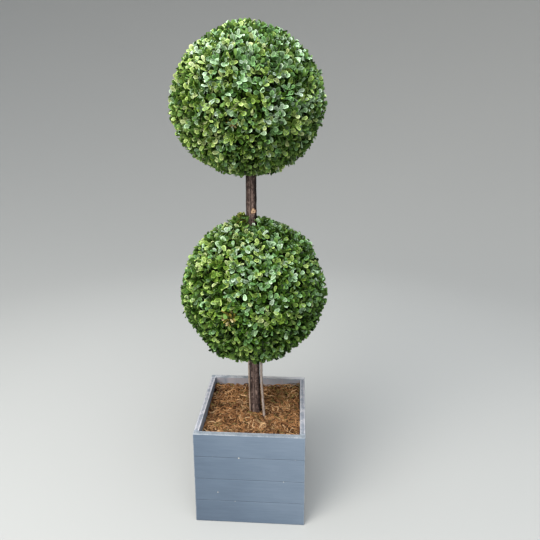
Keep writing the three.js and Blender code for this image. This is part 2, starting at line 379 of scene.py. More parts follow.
def inner_wall_material(name):
    """Thin coat inside the box: warm grey, with painted light as a lighter, bluer coat on the left wall and
    to the right, dark run marks down from the rim and coir dust below."""
    wall = Surface(name)
    runs = wall.noise(75.0, 3.0, 0.6, place=wall.stretched((1.0, 1.0, 0.16)))
    grain = wall.noise(330.0, 4.0, 0.6)
    tone = wall.add(wall.times(runs, 0.8), wall.times(grain, 0.28))
    coat = wall.ramp(tone, (0.32, 0.45, 0.66), INNER_COATS)
    # Painted light: a lighter, bluer coat to the right, where the balls and stems shade the wall
    cool = wall.span(wall.along("X"), 0.0, 0.05, 0.0, 0.6)
    cool = wall.times(cool, wall.span(runs, 0.42, 0.56, 1.0, 0.2))
    coat = wall.mix(cool, coat, LIT_RIGHT_COAT)
    # Painted light: a lighter, bluer coat on the left wall, which lies in shade
    coat = wall.mix(wall.span(wall.along("X"), *LEFT_COAT_X, 1.0, 0.0), coat, LIT_LEFT_COAT)
    dust = wall.span(wall.add(wall.along("Z"), wall.times(grain, 0.012)), *COIR_DUST_Z, 0.35, 0.0)
    wall.finish(wall.mix(dust, coat, COIR_DUST), wall.spread(grain, 0.65, 0.85))
    wall.bump(grain, 0.0005, 0.6)
    return wall.material


def ground_material(name, colours, scale, depth):
    """Loose matter such as the coir's bed, the fill, or the dark inside of a ball."""
    ground = Surface(name)
    grit = ground.noise(scale * 4, 3.0, 0.6)
    tone = ground.add(ground.times(ground.noise(scale, 5.0, 0.65), 0.7), ground.times(grit, 0.3))
    ground.finish(ground.ramp(tone, (0.36, 0.5, 0.66), colours), ground.spread(grit, 0.85, 1.0), 0.15)
    ground.bump(tone, depth, 0.9)
    return ground.material


def add_object(name, data):
    thing = bpy.data.objects.new(name, data)
    bpy.context.scene.collection.objects.link(thing)
    return thing


def make_mesh(name, points, faces, materials, chosen=None):
    """A smooth mesh from points in metres and faces that name them, with each face's chosen material."""
    mesh = bpy.data.meshes.new(name)
    mesh.from_pydata(points.tolist(), [], faces if isinstance(faces, list) else faces.tolist())
    for material in materials:
        mesh.materials.append(material)
    if chosen is not None:
        mesh.polygons.foreach_set("material_index", np.asarray(chosen, dtype=np.int32))
    mesh.polygons.foreach_set("use_smooth", np.ones(len(mesh.polygons), dtype=bool))
    mesh.update()
    return mesh


def make_piece(name, points, faces, materials, chosen=None):
    """A piece that moves with the body, from points in millimetres."""
    piece = add_object(name, make_mesh(name, np.asarray(points) * MM, faces, materials, chosen))
    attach(piece, "root")
    return piece


def sharpen_outlines(piece, outline, count):
    """Marks the edges of an outline as sharp in every repeat of a pattern of count points."""
    mesh = piece.data
    ends = np.zeros(len(mesh.edges) * 2, dtype=np.int32)
    mesh.edges.foreach_get("vertices", ends)
    ends = ends.reshape(-1, 2) % count
    table = np.zeros((count, count), dtype=bool)
    for first, second in zip(outline, outline[1:] + outline[:1]):
        table[first, second] = table[second, first] = True
    flags = table[ends[:, 0], ends[:, 1]]
    mesh.attributes.new("sharp_edge", "BOOLEAN", "EDGE").data.foreach_set("value", flags)


def ring_faces(rings, sides, first=0):
    """Faces between rings of points, one ring after another."""
    faces = []
    for ring in range(rings - 1):
        low = first + ring * sides
        for i in range(sides):
            j = (i + 1) % sides
            faces.append([low + i, low + j, low + sides + j, low + sides + i])
    return faces


def rod_faces(rings, sides):
    """Faces between rings of points, closed at both ends."""
    last = (rings - 1) * sides
    return ring_faces(rings, sides) + [list(range(sides))[::-1], list(range(last, last + sides))]


def dish_faces(rings, sides):
    """Faces from a first point in the middle out over the rings round it."""
    fan = [[0, 1 + i, 1 + (i + 1) % sides] for i in range(sides)]
    return fan + [[face[0], *face[:0:-1]] for face in ring_faces(rings, sides, 1)]


def tube_faces(rings, sides):
    """Three-cornered faces of a closed tube."""
    faces = []
    for low, right, above_right, above in ring_faces(rings, sides):
        faces.append([low, right, above_right])
        faces.append([low, above_right, above])
    last = (rings - 1) * sides
    for side in range(1, sides - 1):
        faces.append([0, side + 1, side])
        faces.append([last, last + side, last + side + 1])
    return np.array(faces)


def repeated(pattern, count, points):
    """The faces of a pattern of so many points for each of count copies."""
    return (pattern[None] + (np.arange(count) * points)[:, None, None]).reshape(-1, pattern.shape[1])


def tubes(paths, radii, sides):
    """Closed tubes along paths of equal length, whose radii taper from root to tip."""
    count, steps, _ = paths.shape
    first, second = side_vectors(unit(np.gradient(paths, axis=1)))
    turn = np.arange(sides) / sides * 2 * math.pi
    ring = np.cos(turn)[:, None] * first[:, :, None, :] + np.sin(turn)[:, None] * second[:, :, None, :]
    points = paths[:, :, None, :] + ring * radii[..., None, None]
    return points.reshape(-1, 3), repeated(tube_faces(steps, sides), count, steps * sides)


def side_vectors(axes):
    """Two directions square to each axis and to each other."""
    helper = np.where(np.abs(axes[..., 2:3]) < 0.9, np.array([0.0, 0.0, 1.0]), np.array([1.0, 0.0, 0.0]))
    first = unit(np.cross(helper, axes))
    return first, np.cross(axes, first)


def bundle_axis(x, z):
    sway = SWAY * np.sin(2 * math.pi * z / SWAY_LENGTH)
    rise = smoothstep(z, FILL_TOP, LOWER_BALL[2])
    return np.stack([x + LEAN * (z - LEAN_FROM) + sway, SOIL_SHIFT_Y * (1 - rise)], axis=-1)


def right_stem_axis(z):
    drop = (RIGHT_STEM_SPLAY_TOP - z) / (RIGHT_STEM_SPLAY_TOP - RIGHT_STEM_SPLAY_FOOT)
    away = np.clip(drop, 0, None) ** 1.5
    return bundle_axis(RIGHT_STEM_X, z) + away[..., None] * np.array(RIGHT_STEM_SPLAY)


# Each stem: its node, foot, tip, radii at both, axis, and how its bark is made. A knot has a height, a side
# as a turn, and a width, and a strip of bark a side, a width, and how much lighter it is.
STEMS = (
    {
        "name": "main_stem", "foot": STEM_FOOT, "tip": 856.0, "radii": (5.2, 4.7),
        "axis": lambda z: bundle_axis(MAIN_STEM_X, z),
        "slot": "dark_bark", "sides": 44, "fissures": 14, "relief": 0.7, "seed": 3,
        "knots": ((214.0, -1.2, 3.6), (276.0, 1.9, 3.0), (612.0, 0.6, 3.4), (640.0, -2.4, 3.0)),
        "colours": ((26, 19, 18), (59, 46, 43), (120, 101, 95)),
        "strips": ((-2.35, 0.45, 0.25), (-0.4, 0.62, -0.42)),
    },
    {
        "name": "second_stem", "foot": STEM_FOOT, "tip": 822.0, "radii": (4.7, 4.3),
        "axis": lambda z: bundle_axis(SECOND_STEM_X, z),
        "slot": "grey_bark", "sides": 40, "fissures": 12, "relief": 0.6, "seed": 4,
        "knots": ((196.0, -2.2, 3.0), (250.0, -1.0, 2.6), (604.0, -1.9, 3.2)),
        "colours": ((37, 27, 26), (77, 61, 56), (136, 117, 110)),
        "strips": ((-0.75, 0.4, 0.6), (-2.4, 0.6, -0.32)),
    },
    {
        "name": "right_side_stem", "foot": SIDE_STEM_FOOT, "tip": SIDE_STEM_TIP, "radii": (2.6, 2.3),
        "axis": right_stem_axis,
        "slot": "pale_bark", "sides": 24, "fissures": 9, "relief": 0.3, "seed": 5,
        "knots": ((206.0, -0.9, 1.9), (243.0, 0.8, 1.8), (281.0, -2.0, 1.8)),
        "colours": ((116, 100, 92), (144, 131, 123), (166, 154, 146)),
        "strips": ((-1.6, 0.8, 0.08),),
    },
    {
        "name": "left_side_stem", "foot": SIDE_STEM_FOOT, "tip": SIDE_STEM_TIP, "radii": (1.5, 1.3),
        "axis": lambda z: bundle_axis(LEFT_STEM_X, z),
        "slot": "pale_bark", "sides": 20, "fissures": 7, "relief": 0.2, "seed": 6,
        "knots": ((232.0, -1.6, 1.3), (270.0, -0.6, 1.2)),
        "colours": ((106, 88, 76), (146, 127, 112), (172, 153, 138)),
        "strips": ((-1.6, 0.8, 0.08),),
    },
)
STEM_RING_STEP = 2.0
# Bark: the lengths of its drift, coarse and fine fissures and swells, and the shape of a knot and its eye
DRIFT_LENGTH = 60
COARSE_LENGTH = 12
FINE_LENGTH = 5
SWELL_LENGTH = 45
KNOT_FLATNESS = 0.62
KNOT_EYE = 0.42


def turned_from(angle, side):
    """The turn from a side to each angle, the short way round."""
    return np.angle(np.exp(1j * (angle - side)))


def knot_shapes(stem, z, angle):
    """How strongly a stem bulges round its knots, and sinks in at the eye of each."""
    bulge = np.zeros_like(z)
    eye = np.zeros_like(z)
    for height, side, width in stem["knots"]:
        across = turned_from(angle, side) * stem["radii"][0]
        reach = np.hypot(across, (z - height) * KNOT_FLATNESS) / width
        bulge += hump(reach, 1.0)
        eye += hump(reach, KNOT_EYE)
    return bulge, eye


def make_stem(stem):
    """A stem along its axis, with fissured bark, swellings at its knots, and closed ends."""
    rng = np.random.default_rng(stem["seed"])
    length = stem["tip"] - stem["foot"]
    rings = int(length / STEM_RING_STEP)
    sides = stem["sides"]
    cells = stem["fissures"]
    heights = np.linspace(stem["foot"], stem["tip"], rings)
    z, turn = np.meshgrid(heights, np.arange(sides) / sides, indexing="ij")
    along = (z - stem["foot"]) / length
    angle = turn * 2 * math.pi
    drift = 0.08 * grid_noise(along, turn * 0, max(3, int(length / DRIFT_LENGTH)), 3, rng)
    coarse = 1 - np.abs(2 * grid_noise(along, turn + drift, int(length / COARSE_LENGTH), cells, rng))
    fine = 1 - np.abs(2 * grid_noise(along, turn + drift, int(length / FINE_LENGTH), cells * 2, rng))
    swell = grid_noise(along, turn, max(3, int(length / SWELL_LENGTH)), 4, rng)
    depth = np.clip(0.62 * coarse + 0.38 * fine, -0.4, 1.0)
    bulge, eye = knot_shapes(stem, z, angle)

    radius = stem["radii"][0] + (stem["radii"][1] - stem["radii"][0]) * along
    radius = radius + stem["relief"] * (0.55 - 0.5 * depth + 0.2 * swell + 0.8 * bulge - 1.0 * eye)
    axis = stem["axis"](z)
    x = axis[..., 0] + radius * np.cos(angle)
    y = axis[..., 1] + radius * np.sin(angle)
    points = np.stack([x, y, z], axis=-1).reshape(-1, 3)
    material = bark_material(stem["name"] + "_bark", stem["colours"])
    piece = make_piece(stem["name"] + "_wood", points, rod_faces(rings, sides), [material])

    tone = 0.6 - 0.4 * depth + 0.1 * swell - 0.35 * eye + 0.12 * bulge
    for side, width, change in stem["strips"]:
        tone = tone + change * hump(turned_from(angle, side), width)
    tones = piece.data.attributes.new("bark_tone", "FLOAT", "POINT")
    tones.data.foreach_set("value", tone.ravel().astype(np.float32))
    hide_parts(stem["name"])


# Cut branch scar on the main stem, just over the lower ball: its height, turn, half width and half height
SCAR_HEIGHT = 591.0
SCAR_TURN = -1.74
SCAR_HALF_WIDTH = 4.2
SCAR_HALF_HEIGHT = 5.6
SCAR_PROUD = 0.7
SCAR_CORNERS = 26
# Rings from the cut's middle out over its lip and down into the bark: size, and how far out they stand
SCAR_RINGS = ((0.3, 0.25), (0.62, 0.18), (0.86, 0.1), (0.93, 0.38), (1.04, 0.45), (1.16, -0.1), (1.2, -1.9))
SCAR_CUT_RINGS = 2


def make_scar():
    """The pale cut end of a trimmed branch on the main stem, with a raised lip of bark round it."""
    main = STEMS[0]
    radius = main["radii"][0]
    across = np.array([-math.sin(SCAR_TURN), math.cos(SCAR_TURN), 0.0])
    out = np.array([math.cos(SCAR_TURN), math.sin(SCAR_TURN), 0.0])
    middle = np.array([*main["axis"](np.array(SCAR_HEIGHT)), SCAR_HEIGHT])
    rng = np.random.default_rng(17)
    turn = np.arange(SCAR_CORNERS) / SCAR_CORNERS * 2 * math.pi
    wobble = 1 + 0.13 * np.cos(3 * turn + 1) + 0.1 * np.cos(2 * turn - 0.6)
    wobble = wobble + 0.05 * rng.normal(size=SCAR_CORNERS)
    points = [middle + out * (radius + SCAR_PROUD + 0.2)]
    for size, rise in SCAR_RINGS:
        side = SCAR_HALF_WIDTH * size * wobble * np.cos(turn)
        up = SCAR_HALF_HEIGHT * size * wobble * np.sin(turn)
        fall = radius - np.sqrt(np.maximum(radius**2 - np.minimum(side**2, 24), 0))
        stand = radius + SCAR_PROUD * max(rise, 0.1) + rise * 0.8 - fall * (1.0 if rise < 0.1 else 0.45)
        ring = middle + side[:, None] * across + up[:, None] * np.array([0, 0, 1.0]) + stand[:, None] * out
        points.extend(ring)
    last = len(points) - SCAR_CORNERS
    faces = dish_faces(len(SCAR_RINGS), SCAR_CORNERS) + [list(range(last, len(points)))[::-1]]
    chosen = np.ones(len(faces))
    chosen[:SCAR_CORNERS * (1 + SCAR_CUT_RINGS)] = 0
    materials = [cut_wood_material("cut_wood"), fibre_material("scar_lip", (112, 84, 70))]
    piece = make_piece("main_stem_scar", points, faces, materials, chosen)


def off_stems(points, clearance):
    """True where a point in the frame is clear of every stem."""
    clear = np.ones(points.shape[:-1], dtype=bool)
    z = points[..., 2]
    for stem in STEMS:
        away = np.linalg.norm(points[..., :2] - stem["axis"](z), axis=-1)
        beside = (z > stem["foot"]) & (z < stem["tip"])
        clear &= ~(beside & (away < stem["radii"][0] + clearance))
    return clear


def lattice(count, turn_start):
    """Directions spaced evenly over a ball by the golden angle."""
    i = np.arange(count)
    height = 1 - (2 * i + 1) / count
    ring = np.sqrt(1 - height**2)
    turn = i * SPRIG_TURN + turn_start
    return np.stack([ring * np.cos(turn), ring * np.sin(turn), height], axis=-1)


def main_twigs(centre, seed):
    """Roots and tips of the twigs that the solids' rule grows out of a ball's core, in the ball's frame."""
    stream = seeded(seed)
    for _ in range(CORE_CORNERS):
        next(stream)
    roots = []
    tips = []
    for outward in lattice(SPRIGS, seed):
        lean = np.array([SPRIG_LEAN * (2 * next(stream) - 1) for _ in range(3)])
        axis = unit(outward + lean)
        reach = TWIG_TIP + TWIG_TIP_SPREAD * (2 * next(stream) - 1)
        root = outward * (CORE_RADIUS - TWIG_ROOT_DEPTH)
        tip = root + axis * (reach - np.linalg.norm(root))
        if not off_stems(np.stack([root, tip]) + centre, LEAF_STEM_CLEARANCE).all():
            continue
        # The turn of its leaves, and the spread and roll of each
        for _ in range(LEAF_DRAWS):
            next(stream)
        roots.append(root)
        tips.append(tip)
    return np.array(roots), np.array(tips)


def curve_points(start, bend, end, share):
    """Places and directions on curves from start by bend to end."""
    share = np.asarray(share)[..., None]
    place = (1 - share) ** 2 * start + 2 * share * (1 - share) * bend + share**2 * end
    direction = unit(2 * (1 - share) * (bend - start) + 2 * share * (end - bend))
    return place, direction


LEAF_LENGTH = 12.1
LEAF_WIDTH = 7.5
LEAF_THICKNESS = 0.45
LEAF_SPREAD_JITTER = 0.42
LEAF_ROLL = 0.95
LEAF_FOLD = 0.34
LEAF_STEM_GAP = 0.4
# How far a leaf's tip curls up like a spoon's, as a share of its length, and from how far along it
SPOON = 0.24
SPOON_FROM = 0.45
# One leaf, from root to tip: places and widths of its outline, and of the inside of its margin with its
# painted highlight
LEAF_STATIONS = ((0.3, 0.64), (0.66, 1.0), (0.91, 0.76))
LEAF_INSIDE_ROOT = 0.16
LEAF_INSIDE = ((0.42, 0.56), (0.7, 0.77))
LEAF_INSIDE_TIP = 0.91
LEAF_OUTLINE = [0, 3, 6, 9, 1, 8, 5, 2]


def leaf_pattern():
    """A leaf's points as shares of its length, half width and half thickness, and its faces: those of the
    margin on its upper side first, then the ones within it, then its underside with a rib."""
    points = [(0.0, 0.0, 0.0), (1.0, 0.0, 0.0)]
    for along, width in LEAF_STATIONS:
        points.extend([(along, width, 0.0), (along, -width, 0.0), (along, 0.0, -1.0)])
    inside = len(points)
    points.append((LEAF_INSIDE_ROOT, 0.0, 1.0))
    for along, width in LEAF_INSIDE:
        points.extend([(along, width, 1.0), (along, -width, 1.0)])
    points.append((LEAF_INSIDE_TIP, 0.0, 1.0))
    upper = [(0, 2, 1), (2, 4, 3), (2, 3, 1), (4, 5, 3)]
    upper = [[inside + corner for corner in face] for face in upper]
    margin = []
    lower = []
    for half, flip in enumerate((-1, 1)):
        edge = [0, 2 + half, 5 + half, 8 + half, 1]
        ring = [inside, inside + 1 + half, inside + 3 + half, inside + 5]
        strip = [(edge[0], edge[1], ring[0])]
        under = [(0, edge[1], 4), (10, edge[3], 1)]
        for step in range(1, 4):
            strip.append((edge[step], ring[step], ring[step - 1]))
            strip.append((edge[step], edge[step + 1], ring[step]))
        for rib, near, far in ((4, edge[1], edge[2]), (7, edge[2], edge[3])):
            under.extend([(rib, near, far), (rib, far, rib + 3)])
        margin.extend(list(face[::flip]) for face in strip)
        lower.extend(list(face[::-flip]) for face in under)
    return np.array(points), np.array(margin + upper + lower), len(margin), len(margin) + len(upper)


LEAF_SHAPE, LEAF_FACES, LEAF_MARGIN, LEAF_UPPER = leaf_pattern()
LEAF_POINTS = len(LEAF_SHAPE)


def place_leaves(leaf, spread):
    """The points of every leaf, each rooted on its twig, spread to one side of it, rolled, cupped and
    bent back a little towards its tip."""
    length, width, roll, cup, fold, bend = (
        leaf[key][:, None] for key in ("length", "width", "roll", "cup", "fold", "bend")
    )
    axis = leaf["axis"]
    along = axis * np.cos(spread)[:, None] + leaf["across"] * np.sin(spread)[:, None]
    flat = unit(np.cross(axis, along))
    sideways = flat * np.cos(roll) + np.cross(along, flat) * np.sin(roll)
    share = LEAF_SHAPE[None, :, 0]
    y = LEAF_SHAPE[None, :, 1] * width / 2
    rise = LEAF_SHAPE[None, :, 2] * LEAF_THICKNESS / 2
    rise = rise + cup * y**2 + fold * np.abs(y)
    rise = rise - bend * length * share**2
    spoon = np.clip((share - SPOON_FROM) / (1 - SPOON_FROM), 0, None) ** 2
    rise = rise + SPOON * length * spoon * (fold / LEAF_FOLD)
    return (
        leaf["node"][:, None, :]
        + (share * length)[..., None] * along[:, None, :]
        + y[..., None] * sideways[:, None, :]
        + rise[..., None] * np.cross(along, sideways)[:, None, :]
    )


def fit_leaves(leaf, centre, limit):
    """Spreads a leaf that would pass its limit wider, step by step, and leaves out one that still has no
    room."""
    spread = leaf["spread"]
    for _ in range(LEAF_TRIES):
        points = place_leaves(leaf, spread)
        inside = (np.linalg.norm(points, axis=-1) < limit[:, None]).all(axis=1)
        fits = inside & off_stems(points + centre, LEAF_STEM_GAP).all(axis=1)
        spread = np.where(fits, spread, spread + LEAF_SPREAD_STEP)
    return points[fits], fits


def leaf_set(node, axis, turn, spread, scale, rng, jitter=LEAF_SPREAD_JITTER):
    """Leaves at nodes of twigs, with the small differences that real ones have."""
    count = len(node)
    first, second = side_vectors(axis)
    return {
        "node": node,
        "axis": axis,
        "across": np.cos(turn)[:, None] * first + np.sin(turn)[:, None] * second,
        "length": LEAF_LENGTH * scale * rng.uniform(0.84, 1.16, count),
        "spread": spread + rng.uniform(-jitter, jitter, count),
        "roll": rng.uniform(-LEAF_ROLL, LEAF_ROLL, count),
        "width": LEAF_WIDTH * scale * rng.uniform(0.86, 1.12, count),
        "cup": rng.uniform(0.0, 0.12, count),
        "fold": rng.uniform(0.02, LEAF_FOLD, count),
        "bend": rng.uniform(-0.12, 0.34, count),
    }


# Leaf colours on screen, each with how strongly it shines
LEAF_TINTS = (
    ("old", (16, 33, 4), 0.08),
    ("deep", (43, 69, 15), 0.22),
    ("green", (91, 118, 40), 0.5),
    ("fresh", (132, 156, 78), 0.36),
    ("lime", (140, 154, 97), 0.24),
    ("cool", (81, 119, 65), 0.54),
    ("soft", (126, 157, 114), 0.36),
    ("pale", (140, 161, 134), 0.26),
    ("olive", (94, 102, 40), 0.3),
    ("dried", (134, 120, 78), 0.25),
    ("ochre", (122, 108, 42), 0.25),
)
TINT_NUMBER = {name: number for number, (name, _, _) in enumerate(LEAF_TINTS)}
# From the darkest old leaves to the lightest fresh ones, on sprays of a warm and of a cool green
WARM_TINTS = ("old", "deep", "green", "fresh", "lime")
COOL_TINTS = ("old", "deep", "cool", "soft", "pale")
DRY_TINTS = ("olive", "dried", "ochre", "dried", "ochre", "old")
UNDERSIDE = (86, 116, 52)
# Painted highlight and shade: how much lighter than its tint a leaf is on its moulded margin, and how much
# darker within it
MARGIN_HIGHLIGHT = 0.54
INSIDE_SHADE = 0.87
# How much the leaves of a spray differ in lightness
LEAF_SHADE_SPREAD = 0.82
DRY_LEAF_LENGTH = 0.8
DRY_LEAF_WIDTH = 0.5
# Painted light: where the upper ball has its lightest sprays, towards which side, how widely, and how much
# lighter
LIT_SIDE = (0.42, -0.8, 0.42)
LIT_WIDTH = 0.42
LIT_RISE = 0.45

# Sprigs that stand up round the stems where they leave the lower ball: their tips from its middle. The
# first ones are olive.
STEM_TUFTS = (
    (-19.0, -9.0, 149.0), (-17.5, -12.0, 145.0), (-21.5, -2.0, 147.0), (-18.0, -5.0, 151.0),
    (-23.5, -8.0, 143.0), (-20.5, -6.0, 149.0), (-29.0, -4.0, 138.0), (-35.0, 1.0, 135.0),
    (-41.0, -3.0, 131.0), (-14.0, 9.0, 134.0), (-3.0, 13.0, 133.0), (9.0, 12.0, 134.0),
    (14.0, -1.0, 138.0), (17.0, 5.0, 137.0), (21.0, -3.0, 137.0), (27.0, 1.0, 133.0),
    (18.0, -9.0, 133.0),
)
OLIVE_TUFTS = 6
OLIVE_SHARE = 0.8
# Each ball is clipped further out than round by its clip, over the height on it from -1 to 1, and by its
# swells, each with a side, a width and a rise. Its dried spot has a side, a width and the number of sprigs
# that crowd there.
LOWER = {
    "name": "lower_ball", "centre": LOWER_BALL, "seed": LOWER_SEED, "tufts": STEM_TUFTS,
    "clip": ((-1.0, 0.0), (0.3, 0.0), (0.8, 2.4), (1.0, 3.6)),
    "swells": (
        ((-0.98, -0.1, 0.02), 0.3, 3.0),
        ((0.99, -0.1, 0.05), 0.35, -3.0),
        ((-0.25, -0.965, -0.03), 0.11, -4.0),
    ),
    "dried": ((-0.25, -0.965, -0.03), 0.06, 9),
}
UPPER = {
    "name": "upper_ball", "centre": UPPER_BALL, "seed": UPPER_SEED, "tufts": (),
    "clip": ((-1.0, 0.0), (-0.1, 0.0), (0.35, -4.5), (0.7, -9.5), (0.92, -8.5), (1.0, -6.5)),
    "swells": (((-0.86, -0.2, -0.5), 0.45, 5.0),),
    "dried": ((-0.083, -0.951, -0.3), 0.05, 1),
}
# The dip in front of the stems on the lower ball: its middle line, half width, depth, and where it starts
# and ends towards the front
DIP_X = -4.0
DIP_TURN = -0.098
DIP_HALF_WIDTH = 9.0
DIP_DEPTH = 11.0
DIP_FROM = (4.0, 16.0)
DIP_TO = (48.0, 72.0)

# Fine sprigs that branch from the solids' twigs: how many, how evenly they stand, how far out their tips
# are, and how far their leaves rise over the tips, over the clipped outline, and over it on the tufts
FINE_SPRIGS = 1180
FINE_SPRIG_JITTER = 0.02
FINE_TIP = 128.9
FINE_TIP_SPREAD = 2.8
FINE_TIP_JITTER = 2.6
DRY_TIP = 132.5
SPRIG_RISE = 9.0
MOST_RISE = 3.5
TUFT_RISE = 14.0
# Where a sprig branches off its twig, how much it leans, and how far back from its tip it bends
BRANCH_FROM = (0.05, 0.55)
FINE_LEAN = 0.45
BEND_SHARE = 0.1
SPRIG_STATIONS = np.array([0.0, 0.3, 0.6, 0.82, 1.0])
SPRIG_RADII = 0.85 - 0.5 * SPRIG_STATIONS
TWIG_RADII = np.array([1.8, 1.7, 1.4, 0.9])
# The pairs of leaves on a sprig: how far along it, how widely spread, how large, and how much lighter
LEAF_PAIRS = (
    (0.99, 0.72, 0.86, 0.3),
    (0.89, 1.02, 1.0, 0.05),
    (0.76, 1.15, 1.04, -0.45),
    (0.6, 1.25, 1.0, -1.0),
)
# Inner leaves: how many, how far out their roots are and how much of the clip these follow, their spread
# and how much it differs, their size, and the share of old ones
INNER_LEAVES = 1600
INNER_ROOT = (109.0, 119.0)
INNER_CLIP_SHARE = 0.8
INNER_SPREAD = 0.95
INNER_SPREAD_JITTER = 0.45
INNER_SIZE = 1.05
INNER_OLD_SHARE = 0.62
# How far a core stays under the solids' one, and the height and length of its lumps
CORE_SINK = 15.0
CORE_LUMPS = ((1.6, 38.0), (1.1, 15.0), (0.7, 6.0))


def make_leaf_materials():
    """Inside tints with painted shade, then the underside, then margin tints with a painted highlight."""
    inside = []
    margin = []
    for name, colour, shine in LEAF_TINTS:
        # Painted shade within the margin, and a painted highlight on it
        shaded = tuple(channel * INSIDE_SHADE for channel in colour)
        highlighted = tuple(channel * (1 + MARGIN_HIGHLIGHT * (1 - channel / 255)) for channel in colour)
        inside.append(leaf_material("leaf_" + name, shaded, shine))
        margin.append(leaf_material("margin_" + name, highlighted, shine))
    return inside + [leaf_material("leaf_underside", UNDERSIDE, 0.2, 0.6)] + margin


def spray_shades(direction, ball, rng):
    """How light and how cool each spray is, and where they have dried up. Besides chance, painted light,
    shade and
    sky reflection: cooler and lighter on top and to the right, and darker below and on the right of the
    lower ball."""
    count = len(direction)
    x, _, z = direction.T
    above = np.maximum(z, 0)
    below = np.minimum(z, 0)
    # Painted sky reflection: cooler to the right and on top, beside random waves and spread
    cool = 0.52 * x + 0.35 * z + 0.12 * waves(direction * 100, 120.0, rng)
    cool = cool + rng.normal(-0.03, 0.52, count)
    # Painted light: lighter on top, beside random waves and spread
    light = 2.05 + 0.3 * z + 0.2 * waves(direction * 100, 62.0, rng) + rng.normal(0, 0.45, count)
    if ball is UPPER:
        # Painted light and shade on the upper ball: lighter overall and on its lit side, darker below,
        # towards the top and to the right, with a painted cooler sheen towards its middle
        light += 0.3 + 0.5 * below - 0.3 * above
        light -= 0.24 * x
        light += LIT_RISE * hump(away_from(direction, LIT_SIDE), LIT_WIDTH)
        cool += 0.1 * smoothstep(x, -0.5, 0.1) * smoothstep(z, -0.6, 0.0)
    else:
        # Painted light and shade on the lower ball: darker overall, below, at the sides and to the right,
        # and lighter on top
        light += -0.1 + 1.2 * below - 0.4 * np.abs(x)
        light -= 0.42 * np.maximum(x, 0)
        light += 0.42 * above
    side, reach, _ = ball["dried"]
    return light, cool, away_from(direction, side) < reach


def leaf_tints(light, cool, dry, shade, rng):
    """A tint for each leaf of a pair from its spray's."""
    count = len(light)
    step = np.rint(light + shade + rng.normal(0, LEAF_SHADE_SPREAD, count)).clip(0, 4).astype(int)
    tables = (WARM_TINTS, COOL_TINTS, DRY_TINTS)
    warm, cold, brown = (np.array([TINT_NUMBER[name] for name in names]) for names in tables)
    brown = brown[rng.integers(0, len(DRY_TINTS), count)]
    return np.where(dry, brown, np.where(cool > rng.normal(0.1, 0.2, count), cold[step], warm[step]))


def clipped(outward, ball):
    """How much further out than round a ball is clipped on each side."""
    change = np.interp(outward[:, 2], *zip(*ball["clip"]))
    for side, width, rise in ball["swells"]:
        change = change + rise * hump(away_from(outward, side), width)
    if ball is UPPER:
        return change
    x = outward[:, 0] * BALL_REACH
    ahead = -outward[:, 1] * BALL_REACH
    dip = hump(x - DIP_X + DIP_TURN * ahead, DIP_HALF_WIDTH)
    dip = dip * smoothstep(ahead, *DIP_FROM) * (1 - smoothstep(ahead, *DIP_TO)) * (outward[:, 2] > 0)
    return change - DIP_DEPTH * dip


def sprig_tips(ball, rng):
    """The tips of a ball's fine sprigs, with the ones at its dried spot and tufts last, and how far out
    their leaves may reach."""
    outward = lattice(FINE_SPRIGS, ball["seed"] * 0.7)
    outward = unit(outward + rng.normal(0, FINE_SPRIG_JITTER, outward.shape))
    reach = FINE_TIP + FINE_TIP_SPREAD * waves(outward * 100, 55.0, rng)
    reach = reach + rng.uniform(-FINE_TIP_JITTER, FINE_TIP_JITTER, FINE_SPRIGS)
    end = outward * (reach + clipped(outward, ball))[:, None]
    keep = off_stems(end + ball["centre"], LEAF_STEM_CLEARANCE)
    side, width, crowd = ball["dried"]
    dried = DRY_TIP * unit(unit(np.array(side)) + rng.normal(0, width * 0.4, (crowd, 3)))
    tufts = np.array(ball["tufts"]).reshape(-1, 3)
    end = np.concatenate([end[keep], dried, tufts])
    most = np.full(len(end), BALL_REACH + MOST_RISE)
    most[len(end) - len(tufts):] = BALL_REACH + TUFT_RISE
    return end, np.minimum(np.linalg.norm(end, axis=1) + SPRIG_RISE, most)


def branch_off(roots, tips, end, rng):
    """Starts and bends of sprigs: each grows from the nearest main twig, low down, and turns outwards."""
    outward = unit(end)
    nearest = np.argmax(outward @ unit(tips).T, axis=1)
    share = rng.uniform(*BRANCH_FROM, len(end))[:, None]
    start = roots[nearest] * (1 - share) + tips[nearest] * share
    lean = unit(outward + rng.normal(0, FINE_LEAN, end.shape))
    return start, end - lean * (np.linalg.norm(end, axis=1) * BEND_SHARE)[:, None]


def make_twigs(ball, roots, tips, sprigs, material, rng):
    path, _ = curve_points(*(places[:, None] for places in sprigs), SPRIG_STATIONS)
    middle = (roots + tips) / 2 + rng.normal(0, 0.6, roots.shape)
    main_path = np.stack([roots * 0.9, roots, middle, tips], axis=1)
    fine_points, fine_faces = tubes(path, SPRIG_RADII, 3)
    main_points, main_faces = tubes(main_path, TWIG_RADII, 6)
    points = np.concatenate([fine_points, main_points]) + ball["centre"]
    faces = np.concatenate([fine_faces, main_faces + len(fine_points)])
    piece = make_piece(ball["name"] + "_twigs", points, faces, [material])
    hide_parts(ball["name"])


def make_leaves(ball, name, points, tint, materials):
    chosen = np.repeat(tint[:, None], len(LEAF_FACES), axis=1)
    chosen[:, :LEAF_MARGIN] += len(LEAF_TINTS) + 1
    chosen[tint < TINT_NUMBER["olive"], LEAF_UPPER:] = len(LEAF_TINTS)
    faces = repeated(LEAF_FACES, len(points), LEAF_POINTS)
    points = (points + ball["centre"]).reshape(-1, 3)
    piece = make_piece(ball["name"] + name, points, faces, materials, chosen.ravel())
    sharpen_outlines(piece, LEAF_OUTLINE, LEAF_POINTS)
    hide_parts(ball["name"])


